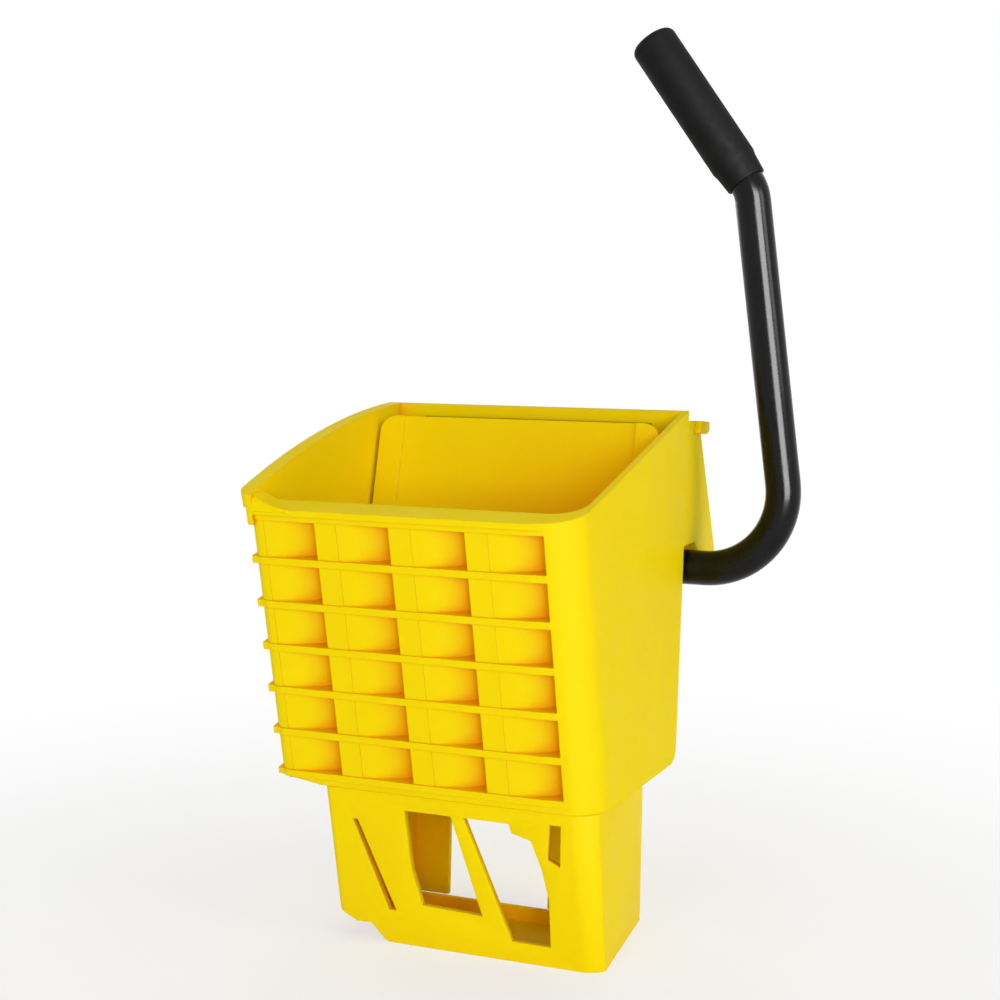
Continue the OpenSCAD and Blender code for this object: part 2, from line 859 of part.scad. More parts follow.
module cam_pad() {
    color(steel)
    plate_frame()
        difference() {
            translate([cam_x - pad_w/2, pad_off - pad_t, pad_lo])
                cube([pad_w, pad_t, pad_hi - pad_lo]);
            rivet_places()
                cylinder(h = 20, d = 4.3, center = true, $fn = 24);
        }
}

module cam_pad_right() {
    cam_pad();
}

module cam_pad_left() {
    mirror([1, 0, 0])
        cam_pad();
}

// axes of the pad rivets in the plate's frame, standing out of the pad's face
module rivet_places() {
    for (x = [-cam_x, cam_x])
        for (z = [pad_lo + 4.5, pad_hi - 4.5])
            translate([x, pad_off - pad_t, z])
                rotate([-90, 0, 0])
                    children();
}

module pad_rivets() {
    color(steel)
    plate_frame()
        rivet_places()
            translate([0, 0, -4.3])
                cylinder(h = 4.2 + pad_t, d = 4, $fn = 24);
}

// the line of a return spring, from the plate to the rear wall
spring_p = [0, (plate_back + 1)*cos(plate_lean) + spring_t*sin(plate_lean),
    hinge_z - (plate_back + 1)*sin(plate_lean) + spring_t*cos(plate_lean)];
spring_end = rear_y(spring_p[2]) - wall;
// the flange of a wall stud just clears the leaning wall
stud_back = (spring_r + 1)*tan(rear_lean) + 0.1;

module stud() {
    cylinder(h = 2, d = 2*spring_r + 2, $fn = 32);
    cylinder(h = stud_len + 2, r = stud_r, $fn = 32);
    translate([0, 0, -4])
        cylinder(h = 5, d = 6, $fn = 24);
}

// axes of the wall studs, pointing forward
module stud_places() {
    for (x = [-spring_x, spring_x])
        translate([x, spring_end - stud_back, spring_p[2]])
            rotate([90, 0, 0])
                children();
}

module wall_spring_studs() {
    color(steel)
    stud_places()
        stud();
}

module plate_spring_studs() {
    color(steel)
    for (x = [-spring_x, spring_x])
        translate([x, spring_p[1] + 1.6, spring_p[2]])
            rotate([-90, 0, 0])
                stud();
}

// a closed helical wire from y0 to y1 about the line through x, z
spring_y0 = spring_p[1] + 1.6 + 2 + spring_wire/2 + 0.35;
spring_y1 = spring_end - stud_back - 2 - spring_wire/2 - 0.35;
spring_pitch = (spring_y1 - spring_y0)/spring_turns;
function coil_at(t) = [spring_r*cos(360*t), spring_y0 + spring_pitch*t, spring_r*sin(360*t)];
function coil_ring(t) = let(c = coil_at(t), u = [cos(360*t), 0, sin(360*t)],
    v = [-sin(360*t)*spring_pitch, -2*PI*spring_r, cos(360*t)*spring_pitch]/norm([spring_pitch, 2*PI*spring_r]))
    [for (i = [0:5]) c + spring_wire/2*(cos(60*i)*u + sin(60*i)*v)];
coil_n = 8*spring_turns;
coil_pts = [for (k = [0:coil_n]) each coil_ring(k/8)];
coil_faces = concat(
    [for (k = [0:coil_n - 1]) for (i = [0:5]) each [
        [6*k + i, 6*k + 6 + i, 6*k + 6 + (i + 1)%6],
        [6*k + i, 6*k + 6 + (i + 1)%6, 6*k + (i + 1)%6]]],
    [for (i = [1:4]) [0, i, i + 1]],
    [for (i = [1:4]) [6*coil_n, 6*coil_n + i + 1, 6*coil_n + i]]);
coil_gap = min([for (k = [0:coil_n - 6]) for (j = [k + 6:min(coil_n, k + 11)])
    norm(coil_at(k/8) - coil_at(j/8))]) - spring_wire;
echo(least_gap_between_coils_mm = coil_gap);

module coil() {
    color(steel)
    translate([spring_x, 0, spring_p[2]])
        polyhedron(coil_pts, coil_faces, convexity = 8);
}

module return_spring_right() {
    coil();
}

module return_spring_left() {
    translate([-2*spring_x, 0, 0])
        coil();
}

// straight tube along Z from z0 to z1
module pipe(len, r, t) {
    difference() {
        cylinder(h = len, r = r, $fn = 48);
        translate([0, 0, -1])
            cylinder(h = len + 2, r = r - t, $fn = 48);
    }
}

// a bend in the X-Z plane: starts at the origin heading +X and turns upward
module bend(r, a) {
    translate([0, 0, r])
        rotate([90, 0, 0])
            rotate([0, 0, -90])
                rotate_extrude(angle = a, $fn = 96)
                    translate([r, 0])
                        difference() {
                            circle(tube_r - weld_step, $fn = 48);
                            circle(tube_r - tube_wall + weld_step, $fn = 48);
                        }
}

module bend_end(r, a) {
    translate([r*sin(a), 0, r*(1 - cos(a))])
        rotate([0, -a, 0])
            children();
}

// the frame at the top of the lever, heading +X along the grip
module grip_frame() {
    translate([bend_x, shaft_y, shaft_z])
        bend_end(bend_r, bend_a)
            translate([lever_len, 0, 0])
                bend_end(crook_r, crook_a)
                    children();
}

module handle_tube() {
    color(black)
    difference() {
        union() {
            translate([shaft_x0, shaft_y, shaft_z])
                rotate([0, 90, 0])
                    pipe(bend_x - shaft_x0 + weld_lap, tube_r, tube_wall);
            translate([bend_x, shaft_y, shaft_z]) {
                bend(bend_r, bend_a);
                bend_end(bend_r, bend_a) {
                    translate([-weld_lap, 0, 0])
                        rotate([0, 90, 0])
                            pipe(lever_len + 2*weld_lap, tube_r, tube_wall);
                    translate([lever_len, 0, 0])
                        bend(crook_r, crook_a);
                }
            }
            grip_frame()
                translate([-weld_lap, 0, 0])
                    rotate([0, 90, 0])
                        pipe(grip_len - 6 + weld_lap, tube_r, tube_wall);
        }
        bolt_places()
            cylinder(h = 60, d = bolt_d + 0.6, center = true, $fn = 32);
    }
}

module handle_grip() {
    r = grip_d/2;
    c = 6;
    b = tube_r + 0.1;
    color(rubber)
    grip_frame()
        rotate([0, 90, 0])
            rotate_extrude($fn = 64)
                polygon(concat([[b, 0], [b + 2, 0], [r - 1, 14], [r, 18]],
                    [for (i = [0:6]) [r - c + c*cos(15*i), grip_len - c + c*sin(15*i)]],
                    [[0, grip_len], [0, grip_len - 5.8], [b, grip_len - 5.8]]));
}

module tube_end_plug() {
    color(black)
    translate([shaft_x0, shaft_y, shaft_z])
        rotate([0, 90, 0]) {
            translate([0, 0, -3])
                cylinder(h = 3, r = tube_r, $fn = 48);
            translate([0, 0, -1])
                cylinder(h = 13, r = tube_r - tube_wall - 0.1, $fn = 48);
        }
}

// axes of the cam bolts, through the hubs and the tube
module bolt_places() {
    for (x = [-bolt_x, bolt_x])
        translate([x, shaft_y, shaft_z])
            rotate([35, 0, 0])
                children();
}

cam_steps = 18;
cam_curve = [for (i = [0:cam_steps]) cam_pt(handle_swing*i/cam_steps)];
cam_tip = cam_curve[cam_steps];
module cam_outline() {
    s0 = cam_psi(0);
    s1 = cam_psi(handle_swing);
    heel = cam_curve[0] - 10*[sin(s0), -cos(s0)];
    translate([shaft_y, shaft_z])
        circle(hub_r, $fn = 64);
    translate([shaft_y, shaft_z])
        polygon(concat([[-hub_r*0.98, 0], heel], cam_curve,
            [cam_tip + 1.5*[sin(s1), -cos(s1)] - 0.4*[cos(s1), sin(s1)]],
            [cam_tip + 2.6*[sin(s1), -cos(s1)] - 1.8*[cos(s1), sin(s1)]],
            [cam_tip + 2.6*[sin(s1), -cos(s1)] - 6*[cos(s1), sin(s1)]],
            [[hub_r*0.98, 0]]));
}

module drive_cam() {
    color(black)
    difference() {
        union() {
            along_x(cam_x - cam_t/2, cam_x + cam_t/2)
                cam_outline();
            translate([hub_x0, shaft_y, shaft_z])
                rotate([0, 90, 0])
                    cylinder(h = hub_x1 - hub_x0, r = hub_r, $fn = 64);
        }
        translate([hub_x0 - 1, shaft_y, shaft_z])
            rotate([0, 90, 0])
                cylinder(h = 60, r = tube_r + 0.1, $fn = 64);
        bolt_places()
            cylinder(h = 80, d = bolt_d + 0.6, center = true, $fn = 32);
        // flats for the bolt's head and nut
        bolt_places()
            for (s = [0, 180])
                rotate([s, 0, 0])
                    translate([-2*bolt_d, -bolt_d, hub_r - 2])
                        cube([3*bolt_d - 0.5, 2*bolt_d, 10]);
    }
}

module drive_cam_right() {
    drive_cam();
}

module drive_cam_left() {
    mirror([1, 0, 0])
        drive_cam();
}

module cam_bolts() {
    color(steel)
    bolt_places() {
        translate([0, 0, -hub_r - 8])
            cylinder(h = 2*hub_r + 14, d = bolt_d, $fn = 32);
        translate([0, 0, hub_r - 2])
            cylinder(h = 5, d = 13, $fn = 6);
    }
}

module cam_nuts() {
    color(steel)
    bolt_places()
        translate([0, 0, -hub_r + 2 - 6.5])
            difference() {
                cylinder(h = 6.5, d = 13, $fn = 6);
                translate([0, 0, -1])
                    cylinder(h = 10, d = bolt_d + 0.1, $fn = 32);
            }
}

module shaft_collar() {
    color(steel)
    difference() {
        translate([collar_x0, shaft_y, shaft_z])
            rotate([0, 90, 0])
                difference() {
                    cylinder(h = collar_w, r = collar_r - 1, $fn = 64);
                    translate([0, 0, -1])
                        cylinder(h = 20, r = tube_r + 0.1, $fn = 64);
                }
        collar_screw_places()
            cylinder(h = 30, d = 4.2, $fn = 24);
    }
}

module shaft_collar_right() {
    shaft_collar();
}

module shaft_collar_left() {
    mirror([1, 0, 0])
        shaft_collar();
}

module collar_screw_places() {
    for (s = [-1, 1])
        translate([s*(collar_x0 + collar_w/2), shaft_y, shaft_z])
            rotate([-90, 0, 0])
                children();
}

module collar_screws() {
    color(black)
    collar_screw_places()
        translate([0, 0, tube_r + 0.2])
            cylinder(h = collar_r - tube_r - 2, d = 4, $fn = 24);
}

basket();
drain_grate();
lower_skirt();
skirt_screws();
rear_hood();
hood_screws();
bearing_block_left();
bearing_block_right();
block_bolts();
shaft_bush_left();
shaft_bush_right();
hinge_pin_left();
hinge_pin_right();
wall_spring_studs();
return_spring_left();
return_spring_right();
press_plate();
hinge_bush_left();
hinge_bush_right();
cam_pad_left();
cam_pad_right();
pad_rivets();
plate_spring_studs();
handle_tube();
handle_grip();
tube_end_plug();
drive_cam_left();
drive_cam_right();
cam_bolts();
cam_nuts();
shaft_collar_left();
shaft_collar_right();
collar_screws();
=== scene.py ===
"""Studio picture of a side press mop wringer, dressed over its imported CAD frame.

Lengths are metres in the frame's own axes: +X handle side, -Y ribbed front, +Z up.
"""
import json
import math

import bpy
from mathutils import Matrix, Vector


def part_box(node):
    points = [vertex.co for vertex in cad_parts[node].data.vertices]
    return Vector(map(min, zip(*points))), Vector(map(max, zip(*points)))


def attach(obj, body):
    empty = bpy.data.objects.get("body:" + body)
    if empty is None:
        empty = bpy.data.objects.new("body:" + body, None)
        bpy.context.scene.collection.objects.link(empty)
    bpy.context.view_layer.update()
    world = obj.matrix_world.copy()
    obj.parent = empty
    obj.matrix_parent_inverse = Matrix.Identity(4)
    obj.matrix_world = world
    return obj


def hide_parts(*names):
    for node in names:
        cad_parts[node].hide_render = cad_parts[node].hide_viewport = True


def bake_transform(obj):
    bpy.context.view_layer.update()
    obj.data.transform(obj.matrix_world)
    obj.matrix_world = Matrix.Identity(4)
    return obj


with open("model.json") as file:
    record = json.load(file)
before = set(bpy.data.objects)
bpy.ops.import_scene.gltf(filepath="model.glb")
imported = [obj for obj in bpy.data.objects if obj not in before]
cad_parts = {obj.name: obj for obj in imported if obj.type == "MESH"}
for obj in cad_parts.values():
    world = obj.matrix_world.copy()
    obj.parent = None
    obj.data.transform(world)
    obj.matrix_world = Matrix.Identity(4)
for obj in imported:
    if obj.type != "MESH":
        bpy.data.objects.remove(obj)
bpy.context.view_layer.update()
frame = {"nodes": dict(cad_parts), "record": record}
bpy.ops.object.select_all(action="DESELECT")

MM = 0.001
NODES = frame["nodes"]
SLOT_OF = {entry["node"]: entry["material_slot"] for entry in frame["record"]["subparts"]}
BODIES = frame["record"]["behaviour"]["bodies"]
BODY_OF = {node: body for body, members in BODIES.items() for node in members}


# Finishes

# Most of a noise lies between these values
NOISE_LOW = 0.3
NOISE_HIGH = 0.7

# Numbers of a Mix node's colour sockets
FIRST_COLOUR = 6
SECOND_COLOUR = 7
MIXED_COLOUR = 2


class Finish:
    """A node material under construction: one Principled shader and its texture nodes."""

    def __init__(self, name):
        self.material = bpy.data.materials.new(name)
        self.material.use_nodes = True
        self.nodes = self.material.node_tree.nodes
        self.links = self.material.node_tree.links
        self.shader = self.nodes["Principled BSDF"]
        self.place = self.nodes.new("ShaderNodeTexCoord").outputs["Object"]

    def set(self, **values):
        """Sets shader sockets that are the same all over; an underscore stands for a space."""
        for socket, value in values.items():
            self.shader.inputs[socket.replace("_", " ")].default_value = value

    def noise(self, scale, detail=3.0, stretch=(1.0, 1.0, 1.0)):
        """Factor of a noise whose scale is in cells per metre."""
        mapping = self.nodes.new("ShaderNodeMapping")
        mapping.inputs["Scale"].default_value = stretch
        self.links.new(self.place, mapping.inputs["Vector"])
        noise = self.nodes.new("ShaderNodeTexNoise")
        noise.inputs["Scale"].default_value = scale
        noise.inputs["Detail"].default_value = detail
        noise.inputs["Roughness"].default_value = 0.5
        self.links.new(mapping.outputs["Vector"], noise.inputs["Vector"])
        return noise.outputs["Fac"]

    def ramp(self, factor, stops):
        """Colour ramp through (position, colour) stops."""
        ramp = self.nodes.new("ShaderNodeValToRGB")
        elements = ramp.color_ramp.elements
        while len(elements) < len(stops):
            elements.new(0.5)
        for element, (position, colour) in zip(elements, stops):
            element.position = position
            element.color = (*colour, 1.0)
        self.links.new(factor, ramp.inputs["Fac"])
        return ramp.outputs["Color"]

    def spread(self, factor, low, high):
        """Maps a noise to values from low to high."""
        spread = self.nodes.new("ShaderNodeMapRange")
        spread.inputs["From Min"].default_value = NOISE_LOW
        spread.inputs["From Max"].default_value = NOISE_HIGH
        spread.inputs["To Min"].default_value = low
        spread.inputs["To Max"].default_value = high
        self.links.new(factor, spread.inputs["Value"])
        return spread.outputs["Result"]

    def painted_shade_mask(self, reach, deep, open_, own_walls):
        """Share of painted shade: 1 in hollows where less than the share deep of the room within reach is
        free.

        It falls to 0 where the share open_ is free. With own_walls, only the piece's own walls count,
        and not the floor or its neighbours."""
        shade = self.nodes.new("ShaderNodeAmbientOcclusion")
        shade.samples = 6
        shade.only_local = own_walls
        shade.inputs["Distance"].default_value = reach
        hollow = self.nodes.new("ShaderNodeMapRange")
        hollow.inputs["From Min"].default_value = deep
        hollow.inputs["From Max"].default_value = open_
        hollow.inputs["To Min"].default_value = 1.0
        hollow.inputs["To Max"].default_value = 0.0
        self.links.new(shade.outputs["AO"], hollow.inputs["Value"])
        return hollow.outputs["Result"]

    def towards_right(self, start, end):
        """0 left of start and 1 right of end, both along X."""
        parts = self.nodes.new("ShaderNodeSeparateXYZ")
        self.links.new(self.place, parts.inputs["Vector"])
        rise = self.nodes.new("ShaderNodeMapRange")
        rise.inputs["From Min"].default_value = start
        rise.inputs["From Max"].default_value = end
        self.links.new(parts.outputs["X"], rise.inputs["Value"])
        return rise.outputs["Result"]

    def product(self, first, second):
        """One factor times another."""
        product = self.nodes.new("ShaderNodeMath")
        product.operation = "MULTIPLY"
        self.links.new(first, product.inputs[0])
        self.links.new(second, product.inputs[1])
        return product.outputs["Value"]

    def mix(self, factor, under, over):
        """The colour of the socket under at factor 0, the plain colour over at 1."""
        mix = self.nodes.new("ShaderNodeMix")
        mix.data_type = "RGBA"
        self.links.new(factor, mix.inputs["Factor"])
        self.links.new(under, mix.inputs[FIRST_COLOUR])
        mix.inputs[SECOND_COLOUR].default_value = (*over, 1.0)
        return mix.outputs[MIXED_COLOUR]

    def bump(self, height, distance, strength, under=None):
        """Normal of a relief, on top of the normal under."""
        bump = self.nodes.new("ShaderNodeBump")
        bump.inputs["Distance"].default_value = distance
        bump.inputs["Strength"].default_value = strength
        self.links.new(height, bump.inputs["Height"])
        if under is not None:
            self.links.new(under, bump.inputs["Normal"])
        return bump.outputs["Normal"]

    def soft_edges(self, radius):
        """Normal that turns softly over sharp edges, as on a moulding whose edges are too fine to model."""
        soft = self.nodes.new("ShaderNodeBevel")
        soft.samples = 4
        soft.inputs["Radius"].default_value = radius
        return soft.outputs["Normal"]

    def feed(self, socket, output):
        """Links a node's output to a socket of the shader."""
        self.links.new(output, self.shader.inputs[socket])


def yellow_polypropylene(name, hollow, reach, deep, open_, own_walls=True, shaded_from=None):
    """Bright moulded plastic: faint flow marks, a fine satin skin and painted shade, a deeper orange in its
    hollows.

    hollow is the colour of that painted shade. With shaded_from, the painted shade comes in between two
    places along X."""
    finish = Finish(name)
    flow = finish.noise(9.0, detail=4.0, stretch=(1.0, 1.0, 0.35))
    skin = finish.ramp(flow, [
        (0.30, (0.970, 0.705, 0.0004)),
        (0.55, (0.980, 0.735, 0.0006)),
        (0.75, (0.985, 0.750, 0.0008)),
    ])
    # Painted shade: where the occlusion finds hollows, the skin is mixed towards the orange hollow colour
    depth = finish.painted_shade_mask(reach, deep, open_, own_walls)
    if shaded_from is not None:
        depth = finish.product(depth, finish.towards_right(*shaded_from))
    finish.feed("Base Color", finish.mix(depth, skin, hollow))
    finish.feed("Roughness", finish.spread(finish.noise(38.0, detail=5.0), low=0.46, high=0.60))
    speckle = finish.noise(1500.0, detail=2.0)
    grain = finish.bump(speckle, distance=0.4 * MM, strength=0.10, under=finish.soft_edges(1.0 * MM))
    waves = finish.noise(26.0, detail=2.0)
    finish.feed("Normal", finish.bump(waves, distance=4.0 * MM, strength=0.035, under=grain))
    finish.set(Specular_IOR_Level=0.045, Subsurface_Weight=0.10, Subsurface_Scale=5.0 * MM)
    finish.set(Subsurface_Radius=(1.0, 0.50, 0.05))
    return finish.material


def black_tube_coat():
    """Glossy black coating on bent steel pipe, with slight orange peel."""
    finish = Finish("black_tube_coat")
    finish.feed("Base Color", finish.ramp(finish.noise(60.0), [
        (0.35, (0.0030, 0.0030, 0.0032)),
        (0.70, (0.0055, 0.0055, 0.0058)),
    ]))
    finish.feed("Roughness", finish.spread(finish.noise(90.0, detail=5.0), low=0.15, high=0.22))
    finish.feed("Normal", finish.bump(finish.noise(300.0, detail=2.0), distance=0.5 * MM, strength=0.025))
    finish.set(Specular_IOR_Level=0.17)
    return finish.material


def black_grip_rubber():
    """Soft moulded grip with a fine matte skin."""
    finish = Finish("black_grip_rubber")
    finish.feed("Base Color", finish.ramp(finish.noise(45.0, detail=5.0), [
        (0.30, (0.0030, 0.0030, 0.0032)),
        (0.75, (0.0065, 0.0064, 0.0063)),
    ]))
    finish.feed("Roughness", finish.spread(finish.noise(140.0, detail=4.0), low=0.56, high=0.72))
    finish.feed("Normal", finish.bump(finish.noise(900.0), distance=0.3 * MM, strength=0.07))
    finish.set(Specular_IOR_Level=0.10)
    return finish.material


def black_filled_nylon():
    """Matte black moulded bearing and cam plastic."""
    finish = Finish("black_filled_nylon")
    finish.feed("Base Color", finish.ramp(finish.noise(120.0, detail=6.0), [
        (0.30, (0.012, 0.012, 0.013)),
        (0.72, (0.026, 0.026, 0.027)),
    ]))
    finish.feed("Roughness", finish.spread(finish.noise(300.0), low=0.38, high=0.55))
    speckle = finish.noise(1300.0)
    edges = finish.soft_edges(0.6 * MM)
    finish.feed("Normal", finish.bump(speckle, distance=0.4 * MM, strength=0.2, under=edges))
    return finish.material


def pale_bearing_plastic():
    """Off-white bush plastic."""
    finish = Finish("pale_bearing_plastic")
    finish.feed("Base Color", finish.ramp(finish.noise(80.0), [
        (NOISE_LOW, (0.66, 0.64, 0.57)),
        (NOISE_HIGH, (0.74, 0.72, 0.66)),
    ]))
    finish.feed("Roughness", finish.spread(finish.noise(200.0), low=0.35, high=0.5))
    finish.set(Subsurface_Weight=0.1, Subsurface_Scale=3.0 * MM)
    return finish.material


def steel_finish(name, dark, light, rough_low, rough_high, streak):
    """Metal with drawn streaks; streak is the noise's stretch along each axis."""
    finish = Finish(name)
    lines = finish.noise(500.0, detail=4.0, stretch=streak)
    finish.feed("Base Color", finish.ramp(lines, [(NOISE_LOW, dark), (NOISE_HIGH, light)]))
    finish.feed("Roughness", finish.spread(finish.noise(160.0, detail=4.0), rough_low, rough_high))
    finish.feed("Normal", finish.bump(lines, distance=0.2 * MM, strength=0.12))
    finish.set(Metallic=1.0)
    return finish.material


FINISHES = {
    # The yellow's hollow colour is the orange of its painted shade
    "yellow_moulding": yellow_polypropylene(
        "yellow_polypropylene", hollow=(0.88, 0.38, 0.0003), reach=28 * MM, deep=0.42, open_=0.82),
    "black_tube": black_tube_coat(),
    "black_grip": black_grip_rubber(),
    "black_nylon": black_filled_nylon(),
    "bush_plastic": pale_bearing_plastic(),
    "zinc_steel": steel_finish(
        "zinc_steel", dark=(0.50, 0.51, 0.53), light=(0.66, 0.67, 0.69),
        rough_low=0.22, rough_high=0.38, streak=(1.0, 0.12, 1.0)),
    "spring_steel": steel_finish(
        "spring_steel", dark=(0.34, 0.34, 0.35), light=(0.50, 0.50, 0.51),
        rough_low=0.2, rough_high=0.34, streak=(1.0, 0.3, 1.0)),
    "dark_steel": steel_finish(
        "dark_steel", dark=(0.05, 0.05, 0.055), light=(0.09, 0.09, 0.095),
        rough_low=0.3, rough_high=0.45, streak=(1.0, 1.0, 0.2)),
}

# The plate stands inside the basket, so its painted shade reaches further and counts the basket's walls.
# Its painted orange shade comes in towards the right wall, which shades it.
PLATE_FINISH_WITH_PAINTED_SHADE = yellow_polypropylene(
    "yellow_polypropylene_plate_painted_shade", hollow=(0.97, 0.31, 0.0003), reach=200 * MM, deep=0.40, open_=0.87,
    own_walls=False, shaded_from=(-100 * MM, 70 * MM))

# The skirt is an open box, so its painted shade reaches across its inside
SKIRT_FINISH_WITH_PAINTED_SHADE = yellow_polypropylene(
    "yellow_polypropylene_skirt_painted_shade", hollow=(1.0, 0.47, 0.0003), reach=90 * MM, deep=0.40, open_=0.80)


# Modelling helpers

SHARP = 0.0
MERGE_DISTANCE = 0.02 * MM
FLAT_ANGLE = math.radians(0.6)
CREASE_ANGLE = math.radians(30.0)
SMOOTH_ANGLE = math.radians(35.0)
EDGE_SEGMENTS = 2


def only(piece):
    """Makes piece the one selected and active object."""
    bpy.ops.object.select_all(action="DESELECT")
    piece.select_set(True)
    bpy.context.view_layer.objects.active = piece


def dress(piece, node):
    """Gives piece the finish of a CAD node's slot and hides the node, so that the piece shows in its place.
    """
    slot = SLOT_OF[node]
    piece.data.materials.clear()
    piece.data.materials.append(FINISHES[slot])
    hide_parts(node)


def round_edges(piece, edge):
    """Rounds the creases of the active piece by up to edge metres.

    The clamp keeps the rounding of the whole piece narrower where some of its edges lie close together."""
    rounding = piece.modifiers.new("rounding", "BEVEL")
    rounding.width = edge
    rounding.segments = EDGE_SEGMENTS
    rounding.limit_method = "ANGLE"
    rounding.angle_limit = CREASE_ANGLE
    rounding.use_clamp_overlap = True
    bpy.ops.object.modifier_apply(modifier=rounding.name)


def moulded(node, name, edge):
    """A copy of a CAD node that rides where the node rides, with its edges rounded or left SHARP.

    Its flat triangles are joined into faces for the rounding, in the same edit as the merge, because
    the order of its points sets the rounded shape."""
    piece = bpy.data.objects.new(name, NODES[node].data.copy())
    bpy.context.collection.objects.link(piece)
    only(piece)
    bpy.ops.object.mode_set(mode="EDIT")
    bpy.ops.mesh.select_all(action="SELECT")
    bpy.ops.mesh.customdata_custom_splitnormals_clear()
    bpy.ops.mesh.remove_doubles(threshold=MERGE_DISTANCE)
    if edge > SHARP:
        bpy.ops.mesh.dissolve_limited(angle_limit=FLAT_ANGLE)
    bpy.ops.object.mode_set(mode="OBJECT")
    if edge > SHARP:
        round_edges(piece, edge)
    bpy.ops.object.shade_smooth_by_angle(angle=SMOOTH_ANGLE)
    dress(piece, node)
    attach(piece, BODY_OF[node])
    return piece


# The mouldings and the handle, each with the most that its edges are rounded

moulded("basket", "basket_moulding", SHARP)
moulded("lower_skirt", "skirt_moulding", 0.9 * MM).data.materials[0] = SKIRT_FINISH_WITH_PAINTED_SHADE
moulded("rear_hood", "hood_moulding", 0.9 * MM)
moulded("press_plate", "press_plate_moulding", SHARP).data.materials[0] = PLATE_FINISH_WITH_PAINTED_SHADE
moulded("drain_grate", "drain_grate_moulding", 0.6 * MM)
moulded("handle_tube", "handle_pipe", SHARP)
moulded("handle_grip", "handle_grip_sleeve", 0.6 * MM)
for side in ("left", "right"):
    moulded("drive_cam_" + side, "drive_cam_moulding_" + side, SHARP)
    moulded("bearing_block_" + side, "bearing_block_moulding_" + side, 0.7 * MM)

# Small hardware, each with the most that its edges are rounded
HARDWARE_EDGES = {
    "shaft_collar_left": SHARP,
    "shaft_collar_right": SHARP,
    "tube_end_plug": 1.0 * MM,
    "block_bolts": 1.0 * MM,
    "hood_screws": 0.9 * MM,
    "skirt_screws": 0.9 * MM,
    "wall_spring_studs": 0.5 * MM,
    "plate_spring_studs": 0.5 * MM,
    "pad_rivets": 0.6 * MM,
    "cam_bolts": 0.6 * MM,
    "cam_nuts": 0.5 * MM,
    "shaft_bush_left": 0.5 * MM,
    "shaft_bush_right": 0.5 * MM,
}
for node, edge in HARDWARE_EDGES.items():
    moulded(node, node + "_finished", edge)


# The lip at the left front corner

def rim_corner_band(left, right, front, top, proud, rise, lean):
    """The front rim's lip where it sweeps up to the left corner, lying on the leaning front wall."""
    sunk = 0.6 * MM
    lapped = 3 * MM
    bpy.ops.mesh.primitive_cube_add(
        size=1.0, location=((left + right) / 2, front + (sunk - proud) / 2, top + (rise - lapped) / 2),
        scale=(right - left, proud + sunk, rise + lapped))
    band = bpy.context.active_object
    band.name = "rim_corner_band"
    bpy.ops.object.transform_apply(location=True, rotation=True, scale=True)
    sweep = ((right - left) ** 2 + rise ** 2) / (2 * rise)
    bpy.ops.mesh.primitive_cylinder_add(
        vertices=192, radius=sweep, depth=10 * proud,
        location=(right, front, top + sweep), rotation=(math.pi / 2, 0.0, 0.0))
    cutter = bpy.context.active_object
    hollow = band.modifiers.new("sweep", "BOOLEAN")
    hollow.operation = "DIFFERENCE"
    hollow.object = cutter
    only(band)
    bpy.ops.object.modifier_apply(modifier=hollow.name)
    only(cutter)
    bpy.ops.object.delete()
    only(band)
    bpy.ops.object.mode_set(mode="EDIT")
    bpy.ops.mesh.select_all(action="SELECT")
    bpy.ops.transform.rotate(value=lean, orient_axis="X", center_override=(0.0, front, top))
    bpy.ops.object.mode_set(mode="OBJECT")
    bpy.ops.object.shade_smooth_by_angle(angle=SMOOTH_ANGLE)
    band.data.materials.append(FINISHES["yellow_moulding"])
    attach(band, "frame")


rim_corner_band(
    left=-121 * MM, right=-91 * MM, front=-143 * MM, top=330 * MM,
    proud=2.05 * MM, rise=10 * MM, lean=math.radians(11.1))


# The return springs

SPRING_TURNS = 11
SPRING_WIRE = 0.9 * MM
WIRE_SIDES = 10
WIRE_STEPS = 28
WIRE_SMOOTH_ANGLE = math.radians(40.0)


